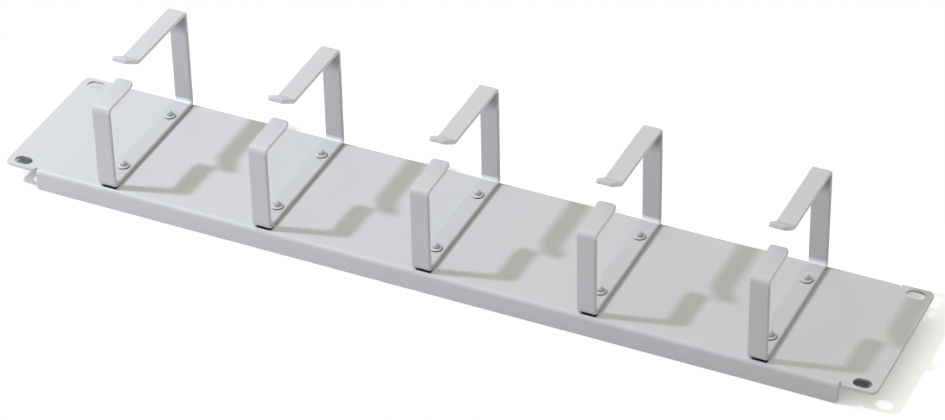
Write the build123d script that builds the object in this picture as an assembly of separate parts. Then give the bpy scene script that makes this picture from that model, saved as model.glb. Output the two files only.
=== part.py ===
from build123d import *
from math import cos, radians, sin
import os

# A rack cable management panel: a folded steel panel two rack units high, with a row of
# open rings bent from flat strip, each riveted to its front face at two places.
# It lies on its folded edges with the rings up. X runs along the panel, Y across it from
# the short legs of the rings to the tall ones, and Z out of its front face. The origin is
# at the panel's centre, on the plane that the folded edges rest on. Sizes are in mm.

# Rack standard
rack_unit = 44.45
rack_units = 2
rack_gap = 0.8
rack_hole_margin = 6.35
panel_width = 482.6

# Ears
ear_width = 19.1
slot_inset = 8.75
slot_length = 9.5
slot_width = 6.5
ear_setback = 0.5
ear_corner_radius = 3.5
ear_root_radius = 1.8

# Folded sheet
sheet_thickness = 1.5
fold_depth = 12.0
fold_inside_radius = 1.0
flange_corner_radius = 2.2
relief_width = 1.0
relief_margin = 0.3

# Ring strip
strip_width = 10.0
strip_thickness = 2.5
strip_end_radius = 2.0
bend_inside_radius = 1.0
short_lip_inside_radius = 8.0
long_lip_inside_radius = 2.0

# Rings, measured over the strip's outer faces, with heights from the panel's front face
ring_count = 5
ring_pitch = 90.0
ring_inset = 1.3
short_leg_height = 50.0
tall_leg_height = 60.0
short_arm_reach = 21.5
long_arm_reach = 52.0
short_lip_length = 5.6
long_lip_length = 13.0
short_lip_angle = 18.0
long_lip_angle = 32.0

# Blind rivets, each with the stub of its pin
rivet_spacing = 50.0
shank_diameter = 3.2
shank_clearance = 0.05
head_diameter = 6.5
head_height = 1.1
bulb_swell = 0.7
bulb_length = 5.3
pin_diameter = 1.9
pin_rise = 3.3

# Largest gap between two places that count as one
place_tolerance = 0.01

# Lengths, levels and radii that follow from the sizes above
panel_height = rack_unit * rack_units - rack_gap
ear_half_height = panel_height / 2 - ear_setback
slot_spacing_y = rack_unit * rack_units - 2 * rack_hole_margin
slot_spacing_x = panel_width - 2 * slot_inset
fold_length = panel_width - 2 * ear_width
fold_half_height = panel_height / 2
fold_outside_radius = fold_inside_radius + sheet_thickness
ring_span = 2 * (fold_half_height - ring_inset)
front = fold_depth
rear = front - sheet_thickness
seat = front + strip_thickness
foot = rear - bulb_length
hole_radius = shank_diameter / 2 + shank_clearance


def bent_section(corners, inside_radii, thickness):
    """Section of a bent sheet or strip, from the corners of its middle line."""
    radii = [radius + thickness / 2 for radius in inside_radii]
    return trace(FilletPolyline(*corners, radius=radii), line_width=thickness)


def extrude_along_x(section, length):
    """Solid of a section drawn in Y and Z, centred on X = 0."""
    return extrude(Plane.YZ * section, amount=length / 2, both=True)


def slab(sketch, low, high):
    """Solid of a plan outline between two levels."""
    return Pos(0, 0, low) * extrude(sketch, high - low)


def ring_places():
    """Places of the rings along the panel."""
    first = -ring_pitch * (ring_count - 1) / 2
    return [first + ring_pitch * index for index in range(ring_count)]


def rivet_places():
    """Places of a ring's two rivets across the panel."""
    return [-rivet_spacing / 2, rivet_spacing / 2]


def folded_channel():
    """The stretch between the ears, with both long edges folded back."""
    middle_half = fold_half_height - sheet_thickness / 2
    middle_level = front - sheet_thickness / 2
    corners = [
        (-middle_half, 0),
        (-middle_half, middle_level),
        (middle_half, middle_level),
        (middle_half, 0),
    ]
    section = bent_section(corners, [fold_inside_radius] * 2, sheet_thickness)
    channel = extrude_along_x(section, fold_length)
    ends = channel.edges().filter_by(Axis.Y).group_by(Axis.Z)[0]
    return fillet(ends, flange_corner_radius)


def flat_blank():
    """Plan of the flat sheet, with its long sides cut back where the folds begin."""
    flat_half = fold_half_height - fold_outside_radius
    cut_length = fold_length + relief_width
    cut_depth = ear_half_height - flat_half
    side = Rectangle(cut_length, cut_depth)
    offset_y = flat_half + cut_depth / 2
    outline = RectangleRounded(panel_width, 2 * ear_half_height, ear_corner_radius)
    return outline - Pos(0, offset_y) * side - Pos(0, -offset_y) * side


def bend_reliefs():
    """Narrow square notches that part the folds from the ears."""
    inner_end = fold_half_height - fold_outside_radius - relief_margin
    notch = Rectangle(relief_width, 2 * (ear_half_height - inner_end))
    spacing_x = fold_length + relief_width
    return GridLocations(spacing_x, 2 * ear_half_height, 2, 2) * notch


def rack_slots():
    """Four slots for the rack screws."""
    slot = SlotOverall(slot_length, slot_width)
    return GridLocations(slot_spacing_x, slot_spacing_y, 2, 2) * slot


def rivet_holes():
    """Round holes for all the rivets."""
    hole = Circle(hole_radius)
    return [Pos(x, y) * hole for x in ring_places() for y in rivet_places()]


def make_panel():
    """The punched and folded sheet, one piece."""
    cuts = Sketch() + bend_reliefs() + rack_slots() + rivet_holes()
    panel = folded_channel() + slab(flat_blank(), rear, front)
    panel = panel - slab(cuts, rear - sheet_thickness, front + sheet_thickness)
    root_x = fold_length / 2 + relief_width

    def at_ear_root(edge):
        place = edge.center()
        off_x = abs(abs(place.X) - root_x)
        off_y = abs(abs(place.Y) - ear_half_height)
        return max(off_x, off_y) < place_tolerance

    roots = panel.edges().filter_by(Axis.Z).filter_by(at_ear_root)
    return fillet(roots, ear_root_radius)


def ring_corners():
    """Corners of the ring's middle line, from the short lip round to the long one."""
    half = strip_thickness / 2
    short_y = half - ring_span / 2
    tall_y = ring_span / 2 - half
    short_z = short_leg_height - half
    tall_z = tall_leg_height - half
    short_kink = short_arm_reach - ring_span / 2
    long_kink = ring_span / 2 - long_arm_reach
    short_turn = radians(short_lip_angle)
    long_turn = radians(long_lip_angle)
    short_end = (
        short_kink + short_lip_length * cos(short_turn),
        short_z + short_lip_length * sin(short_turn),
    )
    long_end = (
        long_kink - long_lip_length * cos(long_turn),
        tall_z + long_lip_length * sin(long_turn),
    )
    return [
        short_end,
        (short_kink, short_z),
        (short_y, short_z),
        (short_y, half),
        (tall_y, half),
        (tall_y, tall_z),
        (long_kink, tall_z),
        long_end,
    ]


def make_ring():
    """One open ring: flat strip bent round, with rounded ends and two rivet holes."""
    square_bends = [bend_inside_radius] * 4
    radii = [short_lip_inside_radius, *square_bends, long_lip_inside_radius]
    section = bent_section(ring_corners(), radii, strip_thickness)
    ring = extrude_along_x(section, strip_width)

    def across_strip(edge):
        straight = edge.geom_type == GeomType.LINE
        return straight and abs(edge.length - strip_thickness) < place_tolerance

    ring = fillet(ring.edges().filter_by(across_strip), strip_end_radius)
    for y in rivet_places():
        ring -= Pos(0, y, 0) * slab(Circle(hole_radius), -strip_thickness, 2 * strip_thickness)
    return ring


def turned(*corners):
    """Solid of revolution about Z, from the corners (radius, level) of its half section."""
    return revolve(Plane.XZ * make_face(Polyline(*corners, close=True)), Axis.Z)


def make_rivet():
    """A set rivet: head on the strip, bulb behind the sheet, and the pin's stub on top."""
    pin = pin_diameter / 2
    shank = shank_diameter / 2
    rim = head_diameter / 2
    bulb = hole_radius + bulb_swell
    return turned(
        (0, seat + pin_rise),
        (pin, seat + pin_rise),
        (pin, seat + head_height),
        (rim, seat),
        (shank, seat),
        (shank, rear),
        (bulb, rear),
        (bulb, foot),
        (0, foot),
    )


def at_rivets(solid):
    """Copies of a solid at every rivet hole, as one group of separate solids."""
    return Compound([Pos(x, y, 0) * solid for x in ring_places() for y in rivet_places()])


def main():
    os.makedirs("parts", exist_ok=True)
    export_step(make_panel(), "parts/panel.step")
    ring = make_ring()
    for number, x in enumerate(ring_places(), start=1):
        export_step(Pos(x, 0, front) * ring, f"parts/cable_ring_{number}.step")
    export_step(at_rivets(make_rivet()), "parts/rivets.step")


main()
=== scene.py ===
from math import acos, copysign, cos, pi, radians, sin

import bmesh
import bpy
from bpy.props import FloatProperty, FloatVectorProperty, IntProperty, PointerProperty
from mathutils import Matrix, Vector


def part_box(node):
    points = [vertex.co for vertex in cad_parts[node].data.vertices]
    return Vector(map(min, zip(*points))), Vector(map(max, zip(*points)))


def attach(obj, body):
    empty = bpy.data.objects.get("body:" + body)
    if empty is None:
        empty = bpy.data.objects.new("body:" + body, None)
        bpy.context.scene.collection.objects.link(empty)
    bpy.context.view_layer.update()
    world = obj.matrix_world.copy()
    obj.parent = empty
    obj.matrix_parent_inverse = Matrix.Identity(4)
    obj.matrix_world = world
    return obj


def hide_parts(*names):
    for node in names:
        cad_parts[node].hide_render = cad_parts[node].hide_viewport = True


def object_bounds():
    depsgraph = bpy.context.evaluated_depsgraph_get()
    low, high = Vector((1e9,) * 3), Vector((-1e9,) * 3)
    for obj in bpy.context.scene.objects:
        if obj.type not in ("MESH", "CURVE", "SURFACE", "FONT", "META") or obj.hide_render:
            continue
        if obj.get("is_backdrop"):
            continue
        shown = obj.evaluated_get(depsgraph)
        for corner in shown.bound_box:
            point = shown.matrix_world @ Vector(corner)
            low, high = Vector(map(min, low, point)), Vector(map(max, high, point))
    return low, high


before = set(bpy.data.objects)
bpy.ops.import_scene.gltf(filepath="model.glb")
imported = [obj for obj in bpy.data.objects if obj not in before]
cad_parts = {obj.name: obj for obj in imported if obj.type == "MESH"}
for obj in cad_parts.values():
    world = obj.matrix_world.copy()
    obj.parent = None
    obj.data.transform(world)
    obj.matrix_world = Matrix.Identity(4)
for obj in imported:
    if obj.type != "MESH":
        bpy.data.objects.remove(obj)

# A rack cable management panel: a folded steel panel with a row of open rings riveted to it,
# all powder coated. X runs along the panel, Y from the rings' short legs to their tall ones,
# and Z out of its front face. Lengths are in metres.

bl_info = {
    "name": "Rack Cable Panel",
    "version": (1, 0, 0),
    "blender": (4, 5, 0),
    "location": "3D View > Sidebar > Cable Panel",
    "description": "Finishes a rack cable management panel in powder coat and sets its stage",
    "category": "Mesh",
}

CAD_LOW, CAD_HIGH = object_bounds()
PANEL_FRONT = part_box("panel")[1].z
RING_NODES = sorted(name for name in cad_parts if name.startswith("cable_ring_"))
RING_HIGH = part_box(RING_NODES[0])[1]
RIVET_LOW, RIVET_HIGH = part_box("rivets")
MILLIMETRE = 0.001
MERGE_DISTANCE = 1e-6
FLAT_ANGLE = radians(0.5)
EDGE_ANGLE = radians(40)
COAT_IOR = 1.5
SENSOR_WIDTH = 36.0
VIEW_END = 100.0
WHITE = (1.0, 1.0, 1.0, 1.0)

# Angles where a turned outline's roundings start and end, in degrees above level
UP = 90
SLOPING = 75
LEVEL = 0
FLARED = -20
DOWN = -90

# Faces across the roundings of a turned outline
DOME_STEPS = 8
END_STEPS = 4
RIM_STEPS = 3


def length_property(name, description, millimetres):
    """A size that a user may change, given here in millimetres."""
    return FloatProperty(
        name=name,
        description=description,
        default=millimetres * MILLIMETRE,
        min=0.0,
        precision=5,
        unit="LENGTH",
    )


def limits_property(name, description, *millimetres):
    """The limits of soft steps, given here in millimetres."""
    return FloatVectorProperty(
        name=name,
        description=description,
        default=tuple(limit * MILLIMETRE for limit in millimetres),
        size=len(millimetres),
        precision=5,
        unit="LENGTH",
    )


def place_property(name, description, default):
    """A point that a user may change, in metres."""
    return FloatVectorProperty(
        name=name,
        description=description,
        default=default,
        precision=5,
        subtype="TRANSLATION",
        unit="LENGTH",
    )


def angle_property(name, description, turn):
    """An angle that a user may change, given here in degrees."""
    return FloatProperty(
        name=name,
        description=description,
        default=radians(turn),
        subtype="ANGLE",
    )


def share_property(name, description, default):
    """A share that a user may change."""
    return FloatProperty(
        name=name,
        description=description,
        default=default,
        min=0.0,
        max=1.0,
        subtype="FACTOR",
    )


def colour_property(name, description, default):
    """A colour that a user may change."""
    return FloatVectorProperty(
        name=name,
        description=description,
        default=default,
        min=0.0,
        max=1.0,
        subtype="COLOR",
    )


def power_property(name, description, watts):
    """A lamp's power that a user may change, in watts."""
    return FloatProperty(
        name=name,
        description=description,
        default=watts,
        min=0.0,
        unit="POWER",
    )


class CABLEPANEL_PG_coat(bpy.types.PropertyGroup):
    """Powder coat: its colour, gloss and orange peel."""

    colour: colour_property("Colour", "Colour of the dry coat", (0.640, 0.645, 0.655))
    mottle: share_property("Mottle", "Share by which the colour drifts", 0.018)
    mottle_size: length_property("Mottle Size", "Width of a patch of the drift", 22.0)
    mottle_share: share_property(
        "Mottle Share", "Share of the drift that goes by patches, and the rest by dimples", 0.7
    )
    roughness: share_property("Roughness", "Roughness of the cured coat", 0.40)
    roughness_drift: share_property(
        "Roughness Drift", "How far the roughness drifts from grain to grain", 0.08
    )
    peel_size: length_property("Peel Size", "Width of a dimple of the orange peel", 1.1)
    peel_depth: length_property("Peel Depth", "Depth of the orange peel", 0.035)
    grain_size: length_property("Grain Size", "Width of the powder's finest grain", 0.3)
    grain_share: share_property("Grain Share", "Height of the grain, as a share of the peel", 0.12)
    # Strength of the painted highlights and of the painted shade in the coat's colour
    lightest: share_property("Lightest", "Share by which the glints are lighter", 0.5)
    darkest: share_property("Darkest", "Share by which the deepest gaps are darker", 0.95)


class CABLEPANEL_PG_pieces(bpy.types.PropertyGroup):
    """Sizes of the sheet, the strip and the rivets' fine shape."""

    sheet_thickness: length_property("Sheet Thickness", "Thickness of the panel", 1.5)
    sheet_rounding: length_property("Sheet Edge", "Rounding of the sheet's edges", 0.3)
    slot_length: length_property("Slot Length", "Length of a rack slot", 9.5)
    slot_width: length_property("Slot Width", "Width of a rack slot", 6.5)
    slot_inset: length_property("Slot Inset", "From the panel's end to a slot's middle", 8.75)
    slot_spacing: length_property("Slot Spacing", "Between the two slots of an ear", 76.2)
    strip_width: length_property("Strip Width", "Width of a ring's strip", 10.0)
    strip_thickness: length_property("Strip Thickness", "Thickness of a ring's strip", 2.5)
    corner_radius: length_property("Corner Radius", "Radius of the corners of a strip's ends", 2.0)
    tall_leg_height: length_property("Tall Leg", "Height of a ring's tall leg", 60.0)
    strip_rounding: length_property("Strip Edge", "Rounding of the strip's soft edges", 1.0)
    crisp_share: share_property(
        "Crisp Share", "Rounding of the strip's crisp side, as a share of its soft side's", 0.3
    )
    rounding_steps: IntProperty(
        name="Rounding Steps",
        description="Faces across each rounded edge",
        default=4,
        min=1,
    )
    rivet_rows: IntProperty(
        name="Rivets per Ring",
        description="Rivets through the foot of each ring",
        default=2,
        min=1,
    )
    head_diameter: length_property("Head Diameter", "Diameter of a rivet's flange", 6.5)
    head_rim: length_property("Head Rim", "Height of the flange at its edge", 0.65)
    head_crown: length_property("Head Crown", "Height of the flange at the dome", 0.95)
    head_lift: length_property("Head Lift", "Gap under the flange's edge", 0.25)
    rim_rounding: length_property("Rim Rounding", "Rounding of the flange's edge", 0.14)
    shank_diameter: length_property("Shank Diameter", "Diameter of a rivet's shank", 3.2)
    dome_diameter: length_property("Dome Diameter", "Diameter of the dome at its foot", 4.0)
    dome_foot: length_property("Dome Foot", "Height of the dome's foot over the strip", 1.0)
    dome_top: length_property("Dome Top", "Height that the dome's curve aims at", 3.3)
    bulb_diameter: length_property("Bulb Diameter", "Diameter of the set end", 4.7)
    bulb_length: length_property("Bulb Length", "Length of the set end behind the sheet", 4.0)
    bulb_rounding: length_property("Bulb Rounding", "Rounding of the set end", 0.6)
    pin_diameter: length_property("Pin Diameter", "Diameter of the broken pin", 1.9)
    pin_clearance: length_property("Pin Clearance", "Gap between a pin and its rivet", 0.03)
    pin_rounding: length_property("Pin Rounding", "Rounding of the pin's broken end", 0.45)
    pin_head_flare: length_property("Pin Head", "Swell of the pin's own head", 0.55)
    rivet_peel: share_property("Rivet Peel", "Depth of a rivet's orange peel, as a share", 0.5)
    turned_steps: IntProperty(
        name="Turned Steps",
        description="Faces round a rivet",
        default=48,
        min=12,
    )
    rivet_turn: angle_property("Rivet Turn", "Largest random turn of a rivet about its axis", 180)
    seed: IntProperty(name="Seed", description="Seed of the random turns", default=7)


class CABLEPANEL_PG_shades(bpy.types.PropertyGroup):
    """Places where painted shade darkens the coat and painted highlights lighten it, as in
    crevices and bends.
    """

    feather: length_property("Feather", "Softness of the places' limits", 0.4)
    # Painted shade on the panel in the gap under each ring's foot bend
    bend_gap_depth: length_property("Bend Gap Start", "From the bend's outer face inwards", 4.0)
    bend_gap_width: length_property("Bend Gap Width", "Width of the dark gap under a bend", 3.5)
    bend_gap_length: length_property("Bend Gap Length", "Length of the dark gap", 8.2)
    bend_gap_shift: length_property("Bend Gap Shift", "Shift of the gap along the panel", 0.9)
    # Painted shade on the near slots' walls
    slot_margin: length_property("Slot Margin", "How far a slot's shade passes its wall", 0.2)
    painted_slot_shade: share_property("Slot Shade", "Depth of the shade on the near slots' walls", 0.6)
    # Painted shade on a ring's foot, and painted shadow of the long arm on the tall leg's inner
    # face
    foot_shade: share_property("Foot Shade", "Depth of the shade on a ring's foot", 0.04)
    arm_shade_start: length_property("Arm Shade Start", "Where it starts below the long arm", 14.0)
    arm_shade_full: length_property("Arm Shade Full", "Where it is full, below the long arm", 4.0)
    arm_shade: share_property("Arm Shade", "Depth of the shade below the long arm", 0.5)
    # Painted highlight in the tall leg's lower bend and painted light on the arms' sides
    glint_width: length_property("Glint Width", "Width of the light in the lower bend", 2.4)
    glint_height: length_property("Glint Height", "Height of that light over the foot", 2.2)
    arm_level: length_property("Arm Level", "Height where the arms' sides grow lighter", 46.5)
    arm_lift: share_property("Arm Lift", "Share of the lightest that the arms' sides get", 0.6)
    # Painted shade under the rivets' rims, on their rims and on their domes
    gap_shade: share_property("Gap Shade", "Depth of the shade under the rivets' rims", 0.85)
    rim_shade: share_property("Rim Shade", "Depth of the shade on the rivets' rims", 0.6)
    dome_shade: share_property("Dome Shade", "Depth of the shade on the rivets' domes", 0.3)


class CABLEPANEL_PG_stage(bpy.types.PropertyGroup):
    """Camera, lamps and floor."""

    azimuth: angle_property("Azimuth", "Turn of the camera, from looking along Y", 25.6025)
    elevation: angle_property("Elevation", "Height of the camera, as an angle", 35.9971)
    roll: angle_property("Roll", "Turn of the camera about its line of sight", -1.2171)
    distance: length_property("Distance", "Camera's distance from its target", 1898.16)
    target: place_property(
        "Target",
        "Point of the front face's plane at the picture's centre",
        (0.00155, 0.01514, PANEL_FRONT),
    )
    lens: FloatProperty(
        name="Lens",
        description="Focal length of the camera",
        default=141.30,
        unit="CAMERA",
    )
    key_place: place_property("Key Place", "Place of the key lamp", (-1.7, -0.485, 2.05))
    key_aim: place_property("Key Aim", "Point that the key lamp looks at", (-1.4, 0.0, 0.0))
    key_spread: angle_property("Key Spread", "Angle over which the key lamp shines", 104)
    key_size: length_property("Key Size", "Diameter of the key lamp", 183.0)
    key_power: power_property("Key Power", "Power of the key lamp", 23.9)
    key_colour: colour_property("Key Colour", "Colour of the key lamp", (0.792, 0.808, 1.0))
    fill_place: place_property("Fill Place", "Place of the fill lamp", (-0.9, -1.6, 0.5))
    fill_aim: place_property("Fill Aim", "Point that the fill lamp looks at", (-0.2, 0.0, 0.0))
    fill_size: length_property("Fill Size", "Diameter of the fill lamp", 900.0)
    fill_power: power_property("Fill Power", "Power of the fill lamp", 2.43)
    fill_colour: colour_property("Fill Colour", "Colour of the fill lamp", (0.62, 0.66, 1.0))
    soft_place: place_property("Soft Place", "Place of the wide lamp above", (-0.9, 0.3, 1.5))
    soft_size: length_property("Soft Size", "Diameter of the wide lamp above", 1400.0)
    soft_power: power_property("Soft Power", "Power of the wide lamp above", 3.65)
    soft_colour: colour_property("Soft Colour", "Colour of the wide lamp", (0.69, 1.0, 0.91))
    top_colour: colour_property("Top Colour", "Colour of the sky's light", (0.94, 0.905, 0.81))
    floor_size: length_property("Floor Size", "Side of the floor", 8000.0)
    floor_bounce: share_property(
        "Floor Bounce", "Share of the light that the floor throws back on the panel", 0.85
    )
    bounce_fall: share_property(
        "Bounce Fall", "Share by which that light falls away from the key lamp", 0.16
    )
    floor_white: share_property(
        "Floor White", "Whiteness of the floor where the camera sees it", 0.90
    )
    floor_glow: share_property(
        "Floor Glow", "White added to the floor near the panel, for the camera alone", 0.12
    )
    far_glow: share_property("Far Glow", "More white added away from the key lamp", 0.20)
    white_start: length_property("White Start", "Distance where the floor turns white", 5.0)
    white_end: length_property("White End", "Distance where the floor is all white", 80.0)
    # Painted shade on the floor under the panel, seen through the slots
    seen_shift: length_property("Seen Shift", "From a slot to the floor seen through it", 7.1)
    shade_reach: limits_property("Shade Reach", "Where the slots' shades end along X", 5, 9)
    shade_end: limits_property("Shade End", "Where they end past the panel's ends", 3, 6)
    near_limits: limits_property("Near Limits", "Near slots' shade across X", -33, -25, -5, 5)
    near_shade: share_property("Near Shade", "Depth of the shade under the near slots", 0.85)
    far_limits: limits_property("Far Limits", "Far slots' shade across X", 30, 44, 52, 60)
    far_shade: share_property("Far Shade", "Depth of the shade under the far slots", 0.42)


class Socket:
    """An output socket of a node tree, which Python's operators work on."""

    def __init__(self, builder, socket):
        self.builder = builder
        self.socket = socket

    def worked(self, operation, first, second):
        """One Math node on two values."""
        return self.builder.node("ShaderNodeMath", {"operation": operation}, [first, second])

    def __add__(self, other):
        return self.worked("ADD", self, other)

    def __radd__(self, other):
        return self.worked("ADD", other, self)

    def __sub__(self, other):
        return self.worked("SUBTRACT", self, other)

    def __rsub__(self, other):
        return self.worked("SUBTRACT", other, self)

    def __mul__(self, other):
        return self.worked("MULTIPLY", self, other)

    def __rmul__(self, other):
        return self.worked("MULTIPLY", other, self)

    def __abs__(self):
        return self.builder.node("ShaderNodeMath", {"operation": "ABSOLUTE"}, [self])

    def wrapped(self, low, high):
        """The value brought between two limits by whole steps."""
        return self.builder.node("ShaderNodeMath", {"operation": "WRAP"}, [self, high, low])

    def larger(self, other):
        """The larger of two values."""
        return self.worked("MAXIMUM", self, other)

    def rise(self, start, end):
        """Smooth step from 0 to 1 between two values."""
        settings = {"interpolation_type": "SMOOTHSTEP"}
        wanted = {"Value": self, "From Min": start, "From Max": end}
        return self.builder.node("ShaderNodeMapRange", settings, wanted)

    def fall(self, start, end):
        """Smooth step from 1 to 0 between two values."""
        return 1 - self.rise(start, end)

    def window(self, start, full, fading, end):
        """A smooth step up to 1 and a smooth step down from it."""
        return self.rise(start, full) * self.fall(fading, end)


class Builder:
    """Fills a node tree: one method adds every node."""

    def __init__(self, tree):
        self.tree = tree

    def node(self, kind, settings=None, inputs=(), output=0):
        """Adds a node. Its inputs are a list in order or a dict by name, of values and sockets."""
        made = self.tree.nodes.new(kind)
        for key, value in (settings or {}).items():
            setattr(made, key, value)
        named = inputs.items() if isinstance(inputs, dict) else enumerate(inputs)
        for key, value in named:
            self.feed(made, key, value)
        usable = [socket for socket in made.outputs if socket.enabled]
        if isinstance(output, str):
            return Socket(self, next(socket for socket in usable if socket.name == output))
        return Socket(self, usable[output]) if usable else made

    def feed(self, made, key, value):
        """Sets or links one input of a node, found by its name or its place in the order."""
        usable = [socket for socket in made.inputs if socket.enabled]
        if isinstance(key, str):
            socket = next(socket for socket in usable if socket.name == key)
        else:
            socket = usable[key]
        if isinstance(value, Socket):
            self.tree.links.new(value.socket, socket)
        else:
            socket.default_value = value


def new_material(name):
    """An empty node material and the builder of its tree."""
    material = bpy.data.materials.new(name)
    material.use_nodes = True
    material.node_tree.nodes.clear()
    return material, Builder(material.node_tree)


def tinted(colour, share):
    """A colour made lighter or darker by a share, as a socket's value."""
    return (*[min(1.0, part * (1 + share)) for part in colour], 1.0)


def parts_of(build, vector):
    """The three numbers of a vector, as sockets."""
    return [build.node("ShaderNodeSeparateXYZ", inputs=[vector], output=axis) for axis in "XYZ"]


def mixed(build, factor, first, second):
    """A colour between two others."""
    wanted = {"Factor": factor, "A": first, "B": second}
    return build.node("ShaderNodeMix", {"data_type": "RGBA"}, wanted)


def coat_material(name, coat, peel_share=1.0, painted_shade=None, painted_light=None):
    """Powder coat: drifting colour, orange peel and fine grain, with painted shade and painted
    highlights in places.
    """
    material, build = new_material(name)
    place = build.node("ShaderNodeTexCoord", output="Object")

    def noise(size, detail):
        wanted = {"Vector": place, "Scale": 1 / size, "Detail": detail}
        return build.node("ShaderNodeTexNoise", inputs=wanted)

    patches = noise(coat.mottle_size, detail=3.0)
    peel = noise(coat.peel_size, detail=1.0)
    grain = noise(coat.grain_size, detail=0.0)
    drift = patches * coat.mottle_share + peel * (1 - coat.mottle_share)
    dark = tinted(coat.colour, -coat.mottle)
    light = tinted(coat.colour, coat.mottle)
    colour = mixed(build, drift, dark, light)
    # Mixes the painted highlights and the painted shade into the coat's colour.
    for factor, share in ((painted_light, coat.lightest), (painted_shade, -coat.darkest)):
        if factor:
            colour = mixed(build, factor(build, place), colour, tinted(coat.colour, share))
    rough = coat.roughness - coat.roughness_drift / 2 + coat.roughness_drift * grain
    height = peel + coat.grain_share * grain
    bump = build.node(
        "ShaderNodeBump",
        inputs={"Distance": coat.peel_depth * peel_share, "Height": height},
    )
    surface = build.node(
        "ShaderNodeBsdfPrincipled",
        inputs={"Base Color": colour, "Roughness": rough, "IOR": COAT_IOR, "Normal": bump},
    )
    build.node("ShaderNodeOutputMaterial", inputs={"Surface": surface})
    return material


def linked(name, mesh):
    """A new object of a mesh, in the scene."""
    piece = bpy.data.objects.new(name, mesh)
    bpy.context.scene.collection.objects.link(piece)
    return piece


def strip_edge_share(sizes):
    """How much of the full rounding each edge gets, for a ring that stands over X = 0."""
    reach = sizes.head_diameter / 2
    row = RIVET_HIGH.y - reach
    straight = sizes.strip_width / 2 - sizes.corner_radius
    crisp = sizes.crisp_share

    def share(edge):
        middle = (edge.verts[0].co + edge.verts[1].co) / 2
        off_rivet = Vector((middle.x, abs(middle.y) - row)).length
        if off_rivet < reach and middle.z < RIVET_HIGH.z:
            return 0.0
        # Grows from one side to the other without a jump, which keeps the round corners whole.
        turned = min(1.0, max(0.0, abs(middle.x) - straight) / sizes.corner_radius)
        return (1 + crisp + copysign(turned**2, middle.x) * (1 - crisp)) / 2

    return share


def merged_copy(node, name, offset=(0.0, 0.0, 0.0), share=lambda edge: 1.0):
    """A copy of a CAD node with whole faces, and with its sharp edges marked for rounding."""
    shape = bmesh.new()
    shape.from_mesh(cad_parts[node].data)
    bmesh.ops.remove_doubles(shape, verts=shape.verts, dist=MERGE_DISTANCE)
    bmesh.ops.dissolve_limit(
        shape,
        angle_limit=FLAT_ANGLE,
        use_dissolve_boundaries=False,
        verts=shape.verts,
        edges=shape.edges,
        delimit=set(),
    )
    bmesh.ops.translate(shape, verts=shape.verts, vec=offset)
    weight = shape.edges.layers.float.new("bevel_weight_edge")
    for edge in shape.edges:
        if edge.calc_face_angle(0.0) > EDGE_ANGLE:
            edge[weight] = share(edge)
    for face in shape.faces:
        face.smooth = True
    mesh = bpy.data.meshes.new(name)
    shape.to_mesh(mesh)
    shape.free()
    return linked(name, mesh)


def round_edges(piece, width, steps):
    """Rounds the marked edges of a piece."""
    bevel = piece.modifiers.new("Rounded Edges", "BEVEL")
    bevel.limit_method = "WEIGHT"
    bevel.width = width
    bevel.segments = steps
    bevel.loop_slide = False
    bevel.use_clamp_overlap = False


def settled(piece, name):
    """The piece with its modifiers worked into a plain mesh, under a new name."""
    graph = bpy.context.evaluated_depsgraph_get()
    mesh = bpy.data.meshes.new_from_object(piece.evaluated_get(graph))
    old = piece.data
    bpy.data.objects.remove(piece)
    bpy.data.meshes.remove(old)
    mesh.name = name
    return linked(name, mesh)


def even_shading(piece):
    """Keeps the wide faces flat to the eye beside their rounded edges."""
    normals = piece.modifiers.new("Even Shading", "WEIGHTED_NORMAL")
    normals.keep_sharp = True


def spread_group(name):
    """Geometry Nodes that stand copies of a piece on a grid of places, each turned at random."""
    group = bpy.data.node_groups.new(name, "GeometryNodeTree")
    group.is_modifier = True
    kinds = {
        "Piece": "NodeSocketGeometry",
        "Columns": "NodeSocketInt",
        "Rows": "NodeSocketInt",
        "Length": "NodeSocketFloat",
        "Width": "NodeSocketFloat",
        "Turn": "NodeSocketFloat",
        "Seed": "NodeSocketInt",
        "Coat": "NodeSocketMaterial",
    }
    identifiers = {}
    for label, kind in kinds.items():
        socket = group.interface.new_socket(label, in_out="INPUT", socket_type=kind)
        identifiers[label] = socket.identifier
    group.interface.new_socket("Pieces", in_out="OUTPUT", socket_type="NodeSocketGeometry")
    build = Builder(group)
    source = group.nodes.new("NodeGroupInput")
    given = {socket.name: Socket(build, socket) for socket in source.outputs if socket.name}
    places = build.node(
        "GeometryNodeMeshGrid",
        inputs={
            "Size X": given["Length"],
            "Size Y": given["Width"],
            "Vertices X": given["Columns"],
            "Vertices Y": given["Rows"],
        },
    )
    turn = build.node(
        "FunctionNodeRandomValue",
        {"data_type": "FLOAT"},
        {"Min": 0 - given["Turn"], "Max": given["Turn"], "Seed": given["Seed"]},
    )
    turned = build.node("ShaderNodeCombineXYZ", inputs={"Z": turn})
    copies = build.node(
        "GeometryNodeInstanceOnPoints",
        inputs={"Points": places, "Instance": given["Piece"], "Rotation": turned},
    )
    whole = build.node("GeometryNodeRealizeInstances", inputs={"Geometry": copies})
    painted = build.node(
        "GeometryNodeSetMaterial",
        inputs={"Geometry": whole, "Material": given["Coat"]},
    )
    build.node("NodeGroupOutput", inputs={"Pieces": painted})
    return group, identifiers


def spread(piece, name, **values):
    """Copies of a piece over a grid of places, as one plain mesh."""
    group, identifiers = spread_group(name + "_places")
    modifier = piece.modifiers.new("Places", "NODES")
    modifier.node_group = group
    for label, value in values.items():
        modifier[identifiers[label]] = value
    return settled(piece, name)


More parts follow.
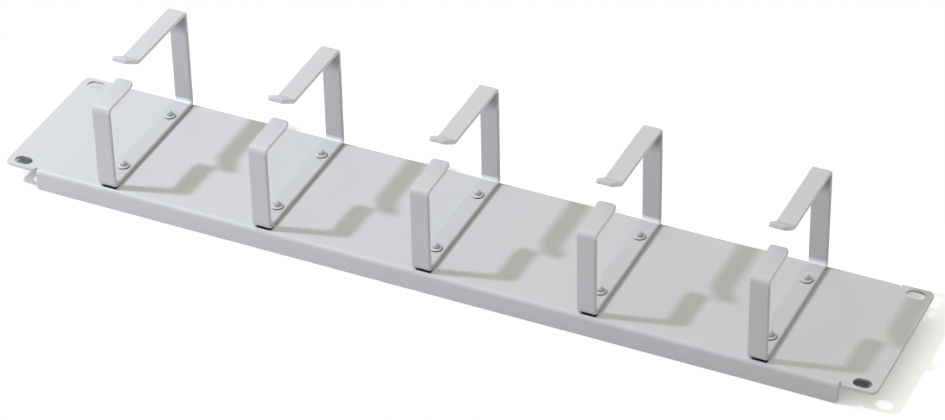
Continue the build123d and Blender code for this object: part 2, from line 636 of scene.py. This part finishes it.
def turn(shape, outline, steps):
    """Adds a turned shell from its (radius, height) points, ending on the axis or closing."""
    rings = []
    for radius, height in outline:
        if radius == 0:
            rings.append([shape.verts.new((0, 0, height))])
            continue
        around = [2 * pi * step / steps for step in range(steps)]
        rings.append([shape.verts.new((radius * cos(a), radius * sin(a), height)) for a in around])
    pairs = list(zip(rings, rings[1:]))
    if outline[0][0] > 0:
        pairs.append((rings[-1], rings[0]))
    for first, second in pairs:
        for step in range(steps):
            following = (step + 1) % steps
            corners = [first[step % len(first)], first[following % len(first)]]
            corners += [second[following % len(second)], second[step % len(second)]]
            shape.faces.new(list(dict.fromkeys(corners)))


def turned_mesh(name, outlines, steps):
    """One mesh of turned shells."""
    shape = bmesh.new()
    for outline in outlines:
        turn(shape, outline, steps)
    bmesh.ops.recalc_face_normals(shape, faces=shape.faces)
    for face in shape.faces:
        face.smooth = True
    mesh = bpy.data.meshes.new(name)
    shape.to_mesh(mesh)
    shape.free()
    mesh.set_sharp_from_angle(angle=EDGE_ANGLE)
    return mesh


def arc(centre, radius, start, end, steps):
    """Points of an arc in the plane of a turned outline, its angles in degrees."""
    angles = [radians(start + (end - start) * step / steps) for step in range(steps + 1)]
    return [(centre[0] + radius * cos(a), centre[1] + radius * sin(a)) for a in angles]


def strip_seat(sizes):
    """Height of the strip's face that the rivets' heads sit on."""
    return PANEL_FRONT + sizes.strip_thickness


def leg_wall(sizes):
    """Place along Y of the tall legs' inner faces."""
    return RING_HIGH.y - sizes.strip_thickness


def rivet_outline(sizes):
    """Outline of a set rivet, from the top of its bore, over its head and round its set end."""
    seat = strip_seat(sizes)
    rear = PANEL_FRONT - sizes.sheet_thickness
    foot = rear - sizes.bulb_length
    bore = sizes.pin_diameter / 2 + sizes.pin_clearance
    dome = sizes.dome_diameter / 2
    rise = sizes.dome_top - sizes.dome_foot
    start = acos(bore / dome)
    turns = [start * step / DOME_STEPS for step in range(DOME_STEPS, -1, -1)]
    rim = sizes.head_diameter / 2
    rounding = sizes.rim_rounding
    shank = sizes.shank_diameter / 2
    bulb = sizes.bulb_diameter / 2
    soft = sizes.bulb_rounding
    rim_centre = (rim - rounding, seat + sizes.head_rim - rounding)
    low_centre = (rim - rounding, seat + sizes.head_lift + rounding)
    return [
        *[(dome * cos(a), seat + sizes.dome_foot + rise * sin(a)) for a in turns],
        (dome + rounding, seat + sizes.head_crown),
        *arc(rim_centre, rounding, SLOPING, LEVEL, RIM_STEPS),
        *arc(low_centre, rounding, LEVEL, DOWN, RIM_STEPS),
        ((rim + shank) / 2, seat),
        (shank, seat),
        (shank, rear),
        (bulb - soft, rear),
        *arc((bulb - soft, rear - soft), soft, SLOPING, LEVEL, END_STEPS),
        *arc((bulb - soft, foot + soft), soft, LEVEL, DOWN, END_STEPS),
        (bore, foot),
    ]


def pin_outline(sizes):
    """Outline of a broken pin, from its stub to the head that is trapped at the set end."""
    shaft = sizes.pin_diameter / 2
    rounding = sizes.pin_rounding
    flare = shaft + sizes.pin_head_flare
    top = RIVET_HIGH.z
    low = RIVET_LOW.z
    return [
        (0, top),
        *arc((shaft - rounding, top - rounding), rounding, UP, LEVEL, END_STEPS),
        (shaft, PANEL_FRONT - sizes.sheet_thickness - sizes.bulb_length),
        (flare, low + rounding),
        *arc((flare - rounding, low + rounding), rounding, FLARED, DOWN, RIM_STEPS),
        (0, low),
    ]


def off_ring(along):
    """How far a place lies along X from the middle of the nearest ring."""
    first, second = (sum(corner.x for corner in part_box(node)) / 2 for node in RING_NODES[:2])
    half = (second - first) / 2
    return (along - first).wrapped(-half, half)


def lee_of_rivet(along, sizes):
    """Grows from the side of each rivet that faces the key lamp to its far side."""
    return off_ring(along).rise(-sizes.head_diameter / 2, sizes.pin_diameter / 2)


def off_rivet(build, along, across, sizes):
    """Distance in plan from the axis of the nearest rivet."""
    row = RIVET_HIGH.y - sizes.head_diameter / 2
    offset = build.node("ShaderNodeCombineXYZ", inputs=[off_ring(along), abs(across) - row])
    return build.node(
        "ShaderNodeVectorMath", {"operation": "LENGTH"}, {"Vector": offset}, output="Value"
    )


def off_slot(along, sizes):
    """Distance along X from the middle of the nearest slot."""
    return abs(abs(along) - (CAD_HIGH.x - sizes.slot_inset))


def painted_bend_shade(build, place, shades):
    """Painted shade on the panel's face in the deep gap under the bends of each ring's foot."""
    along, across, _ = parts_of(build, place)
    soft = shades.feather
    start = RING_HIGH.y - shades.bend_gap_depth
    end = start + shades.bend_gap_width
    in_depth = abs(across).window(start, start + soft, end - soft / 2, end + soft / 2)
    half = shades.bend_gap_length / 2
    off_centre = abs(off_ring(along) - shades.bend_gap_shift)
    return in_depth * off_centre.fall(half - soft, half + soft)


def painted_slot_shade(build, place, sizes, shades):
    """Painted shade on the walls of the two slots on the side of the short legs."""
    along, across, up = parts_of(build, place)
    margin = shades.slot_margin
    off_y = abs(across + sizes.slot_spacing / 2)
    limit_x = sizes.slot_length / 2 + margin
    limit_y = sizes.slot_width / 2 + margin
    limit_z = PANEL_FRONT - margin
    inside = off_slot(along, sizes).fall(limit_x, limit_x + margin)
    inside = inside * off_y.fall(limit_y, limit_y + margin)
    return shades.painted_slot_shade * inside * up.fall(limit_z - margin, limit_z)


def painted_ring_shade(build, place, sizes, shades):
    """Painted shade where little light reaches a ring: under its rivets and on its foot, and a
    painted shadow below its long arm.
    """
    along, across, up = parts_of(build, place)
    soft = shades.feather
    seat = strip_seat(sizes)
    wall = leg_wall(sizes)
    arm = PANEL_FRONT + sizes.tall_leg_height - sizes.strip_thickness
    start = arm - shades.arm_shade_start
    full = arm - shades.arm_shade_full
    on_leg = up.window(start, full, arm + soft, arm + 2 * soft)
    on_leg = on_leg * across.window(wall - 2 * soft, wall, wall + soft, wall + 2 * soft)
    on_foot = up.fall(seat + soft, seat + 3 * soft)
    rim = sizes.head_diameter / 2
    in_gap = off_rivet(build, along, across, sizes).fall(rim, rim + soft)
    in_gap = in_gap * up.fall(seat + soft, seat + 2 * soft) * lee_of_rivet(along, sizes)
    shade = (shades.gap_shade * in_gap).larger(shades.foot_shade * on_foot)
    return shade.larger(shades.arm_shade * on_leg)


def painted_ring_light(build, place, sizes, shades):
    """Painted highlights where a ring would catch more light: in the tall leg's lower bend and on
    the arms' sides.
    """
    along, across, up = parts_of(build, place)
    soft = shades.feather
    wall = leg_wall(sizes)
    glint_top = strip_seat(sizes) + shades.glint_height
    in_bend = across.window(wall - shades.glint_width, wall - soft, wall + soft, wall + 2 * soft)
    in_bend = in_bend * up.fall(glint_top - soft, glint_top)
    arm_level = PANEL_FRONT + shades.arm_level
    edge = sizes.strip_width / 2
    on_side = off_ring(along).rise(edge - 3 * soft, edge - soft)
    on_side = on_side * up.rise(arm_level, arm_level + 3 * soft)
    return in_bend.larger(shades.arm_lift * on_side)


def painted_rivet_shade(build, place, sizes, shades):
    """Painted shade under a rivet's rim and round its dome, on the side away from the key lamp."""
    along, across, up = parts_of(build, place)
    soft = shades.feather / 2
    dome = sizes.dome_diameter / 2
    height = up - strip_seat(sizes)
    radius = off_rivet(build, along, across, sizes)
    rim = height.fall(sizes.head_rim - soft, sizes.head_rim)
    flank = height.fall(sizes.dome_foot, sizes.dome_top) * radius.fall(dome, dome + soft)
    shade = (shades.rim_shade * rim).larger(shades.dome_shade * flank)
    return shade * lee_of_rivet(along, sizes)


class CABLEPANEL_OT_panel(bpy.types.Operator):
    """Finishes the folded panel with rounded edges and its powder coat"""

    bl_idname = "cablepanel.panel"
    bl_label = "Folded Panel"

    def execute(self, context):
        scene = context.scene
        sizes = scene.cable_panel_pieces
        shades = scene.cable_panel_shades

        # Painted shade in the gaps under the rings' foot bends and on the near slots' walls
        def painted_shade(build, place):
            gap = painted_bend_shade(build, place, shades)
            return gap.larger(painted_slot_shade(build, place, sizes, shades))

        piece = merged_copy("panel", "folded_panel")
        round_edges(piece, sizes.sheet_rounding, sizes.rounding_steps)
        piece = settled(piece, "folded_panel")
        piece.data.materials.clear()
        coat = coat_material("panel_coat", scene.cable_panel_coat, painted_shade=painted_shade)
        piece.data.materials.append(coat)
        even_shading(piece)
        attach(piece, "root")
        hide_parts("panel")
        return {"FINISHED"}


class CABLEPANEL_OT_rings(bpy.types.Operator):
    """Rounds the edges of an open ring and stands its copies along the panel"""

    bl_idname = "cablepanel.rings"
    bl_label = "Cable Rings"

    def execute(self, context):
        scene = context.scene
        sizes = scene.cable_panel_pieces
        shades = scene.cable_panel_shades
        boxes = [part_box(node) for node in RING_NODES]
        places = [(low.x + high.x) / 2 for low, high in boxes]
        to_middle = (-places[0], 0.0, 0.0)
        ring = merged_copy(RING_NODES[0], "ring", to_middle, strip_edge_share(sizes))
        round_edges(ring, sizes.strip_rounding, sizes.rounding_steps)
        coat = coat_material(
            "ring_coat",
            scene.cable_panel_coat,
            # Painted shade of a ring's coat
            painted_shade=lambda build, place: painted_ring_shade(build, place, sizes, shades),
            # Painted highlights of a ring's coat
            painted_light=lambda build, place: painted_ring_light(build, place, sizes, shades),
        )
        piece = spread(
            ring,
            "cable_rings",
            Columns=len(places),
            Rows=1,
            Length=places[-1] - places[0],
            Width=0.0,
            Turn=0.0,
            Seed=sizes.seed,
            Coat=coat,
        )
        even_shading(piece)
        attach(piece, "root")
        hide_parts(*RING_NODES)
        return {"FINISHED"}


class CABLEPANEL_OT_rivets(bpy.types.Operator):
    """Turns the rivets and their broken pins and sets two in the foot of each ring"""

    bl_idname = "cablepanel.rivets"
    bl_label = "Rivets"

    def execute(self, context):
        scene = context.scene
        sizes = scene.cable_panel_pieces
        shades = scene.cable_panel_shades
        outlines = (rivet_outline(sizes), pin_outline(sizes))
        one = linked("rivet", turned_mesh("rivet", outlines, sizes.turned_steps))
        coat = coat_material(
            "rivet_coat",
            scene.cable_panel_coat,
            peel_share=sizes.rivet_peel,
            # Painted shade of the rivets
            painted_shade=lambda build, place: painted_rivet_shade(build, place, sizes, shades),
        )
        piece = spread(
            one,
            "set_rivets",
            Columns=len(RING_NODES),
            Rows=sizes.rivet_rows,
            Length=RIVET_HIGH.x - RIVET_LOW.x - sizes.head_diameter,
            Width=RIVET_HIGH.y - RIVET_LOW.y - sizes.head_diameter,
            Turn=sizes.rivet_turn,
            Seed=sizes.seed,
            Coat=coat,
        )
        even_shading(piece)
        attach(piece, "root")
        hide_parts("rivets")
        return {"FINISHED"}


def sighting(stage):
    """Camera's place and axes from its turn, height, roll and distance."""
    back = Vector(
        (
            sin(stage.azimuth) * cos(stage.elevation),
            -cos(stage.azimuth) * cos(stage.elevation),
            sin(stage.elevation),
        )
    )
    level = Vector((cos(stage.azimuth), sin(stage.azimuth), 0.0))
    upright = back.cross(level)
    right = level * cos(stage.roll) + upright * sin(stage.roll)
    up = upright * cos(stage.roll) - level * sin(stage.roll)
    axes = Matrix((right, up, back)).transposed().to_4x4()
    return Matrix.Translation(Vector(stage.target) + back * stage.distance) @ axes


def add_camera(stage):
    """The camera, at the picture's angle."""
    data = bpy.data.cameras.new("camera")
    data.lens = stage.lens
    data.sensor_width = SENSOR_WIDTH
    data.clip_end = VIEW_END
    camera = linked("camera", data)
    camera.matrix_world = sighting(stage)
    bpy.context.scene.camera = camera


def add_lamp(name, place, aim, size, power, colour, spread=pi):
    """A round soft lamp, turned to its aim."""
    data = bpy.data.lights.new(name, "AREA")
    data.shape = "DISK"
    data.size = size
    data.energy = power
    data.color = colour
    data.spread = spread
    lamp = linked(name, data)
    lamp.location = place
    lamp.rotation_euler = (Vector(aim) - Vector(place)).to_track_quat("-Z", "Y").to_euler()


def floor_material(stage, sizes):
    """Pale floor: white to the camera away from the panel, with the panel's shadow near it and a
    painted shade where the floor is seen through the slots.
    """
    material, build = new_material("floor")
    rays = build.tree.nodes.new("ShaderNodeLightPath")
    seen = Socket(build, rays.outputs["Is Camera Ray"])
    place = build.node("ShaderNodeTexCoord", output="Object")
    along, across, _ = parts_of(build, place)
    past_end = (abs(along) - CAD_HIGH.x).larger(0.0)
    past_side = (abs(across) - CAD_HIGH.y).larger(0.0)
    outside = build.node("ShaderNodeCombineXYZ", inputs=[past_end, past_side])
    away = build.node(
        "ShaderNodeVectorMath", {"operation": "LENGTH"}, {"Vector": outside}, output="Value"
    )
    bare = away.rise(stage.white_start, stage.white_end)
    # Painted shade on the floor under the slots, deep under the near ones and light under the far
    # ones; lit keeps what is left of the floor's colour.
    under_slot = off_slot(along + stage.seen_shift, sizes).fall(*stage.shade_reach)
    under_slot = under_slot * past_end.fall(*stage.shade_end)
    near_shade = stage.near_shade * across.window(*stage.near_limits)
    far_shade = stage.far_shade * across.window(*stage.far_limits)
    lit = 1 - under_slot * (near_shade + far_shade)
    far_end = along.rise(-CAD_HIGH.x, CAD_HIGH.x)
    pale = build.node("ShaderNodeCombineColor", inputs=[stage.floor_white * lit] * 3)
    paint = build.node("ShaderNodeBsdfDiffuse", inputs={"Color": pale})
    glow_strength = (stage.floor_glow + stage.far_glow * far_end) * lit
    glow = build.node("ShaderNodeEmission", inputs={"Strength": glow_strength})
    close = build.node("ShaderNodeAddShader", inputs=[paint, glow])
    white = build.node("ShaderNodeEmission")
    shown = build.node("ShaderNodeMixShader", inputs=[bare, close, white])
    thrown = stage.floor_bounce * (1 - stage.bounce_fall * far_end)
    grey = build.node("ShaderNodeCombineColor", inputs=[thrown] * 3)
    bounce = build.node("ShaderNodeBsdfDiffuse", inputs={"Color": grey})
    surface = build.node("ShaderNodeMixShader", inputs=[seen, bounce, shown])
    build.node("ShaderNodeOutputMaterial", inputs={"Surface": surface})
    return material


def add_floor(stage, sizes):
    """The floor that the panel lies on."""
    half = stage.floor_size / 2
    mesh = bpy.data.meshes.new("floor")
    corners = [(-half, -half, 0), (half, -half, 0), (half, half, 0), (-half, half, 0)]
    mesh.from_pydata(corners, [], [(0, 1, 2, 3)])
    mesh.materials.append(floor_material(stage, sizes))
    linked("floor", mesh)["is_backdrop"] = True


def add_sky(stage):
    """Soft light from all round, and white where the camera sees past the floor."""
    world = bpy.data.worlds.new("sky")
    world.use_nodes = True
    world.node_tree.nodes.clear()
    build = Builder(world.node_tree)
    rays = build.tree.nodes.new("ShaderNodeLightPath")
    seen = Socket(build, rays.outputs["Is Camera Ray"])
    place = build.node("ShaderNodeTexCoord", output="Generated")
    up = parts_of(build, place)[2]
    soft = build.node("ShaderNodeBackground", inputs=[(*stage.top_colour, 1.0), up.larger(0.0)])
    white = build.node("ShaderNodeBackground", inputs=[WHITE])
    shown = build.node("ShaderNodeMixShader", inputs=[seen, soft, white])
    build.node("ShaderNodeOutputWorld", inputs={"Surface": shown})
    bpy.context.scene.world = world


class CABLEPANEL_OT_stage(bpy.types.Operator):
    """Sets the floor, the soft light and the camera"""

    bl_idname = "cablepanel.stage"
    bl_label = "Stage"

    def execute(self, context):
        stage = context.scene.cable_panel_stage
        sizes = context.scene.cable_panel_pieces
        context.scene.view_settings.view_transform = "Standard"
        add_floor(stage, sizes)
        add_sky(stage)
        add_lamp(
            "key_lamp",
            stage.key_place,
            stage.key_aim,
            stage.key_size,
            stage.key_power,
            stage.key_colour,
            stage.key_spread,
        )
        add_lamp(
            "fill_lamp",
            stage.fill_place,
            stage.fill_aim,
            stage.fill_size,
            stage.fill_power,
            stage.fill_colour,
        )
        add_lamp(
            "soft_lamp",
            stage.soft_place,
            stage.target,
            stage.soft_size,
            stage.soft_power,
            stage.soft_colour,
        )
        add_camera(stage)
        return {"FINISHED"}


class CABLEPANEL_PT_sidebar(bpy.types.Panel):
    """The steps that make the panel, and their settings"""

    bl_label = "Cable Panel"
    bl_idname = "CABLEPANEL_PT_sidebar"
    bl_space_type = "VIEW_3D"
    bl_region_type = "UI"
    bl_category = "Cable Panel"

    def draw(self, context):
        for operator in OPERATORS:
            self.layout.operator(operator.bl_idname)
        for group in GROUPS:
            settings = getattr(context.scene, group)
            box = self.layout.box()
            for name in settings.bl_rna.properties.keys():
                if name not in ("rna_type", "name"):
                    box.prop(settings, name)


GROUPS = {
    "cable_panel_coat": CABLEPANEL_PG_coat,
    "cable_panel_pieces": CABLEPANEL_PG_pieces,
    "cable_panel_shades": CABLEPANEL_PG_shades,
    "cable_panel_stage": CABLEPANEL_PG_stage,
}
OPERATORS = (
    CABLEPANEL_OT_panel,
    CABLEPANEL_OT_rings,
    CABLEPANEL_OT_rivets,
    CABLEPANEL_OT_stage,
)


def register():
    for item in (*GROUPS.values(), *OPERATORS, CABLEPANEL_PT_sidebar):
        bpy.utils.register_class(item)
    for name, group in GROUPS.items():
        setattr(bpy.types.Scene, name, PointerProperty(type=group))


def unregister():
    for name in GROUPS:
        delattr(bpy.types.Scene, name)
    for item in (CABLEPANEL_PT_sidebar, *OPERATORS, *GROUPS.values()):
        bpy.utils.unregister_class(item)


def main():
    """Makes every piece and the stage."""
    register()
    bpy.ops.cablepanel.panel()
    bpy.ops.cablepanel.rings()
    bpy.ops.cablepanel.rivets()
    bpy.ops.cablepanel.stage()
    boxes = {"cad": [CAD_LOW, CAD_HIGH], "visual": list(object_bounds())}
    {name: [list(corner) for corner in box] for name, box in boxes.items()}


if __name__ == "__main__":
    main()
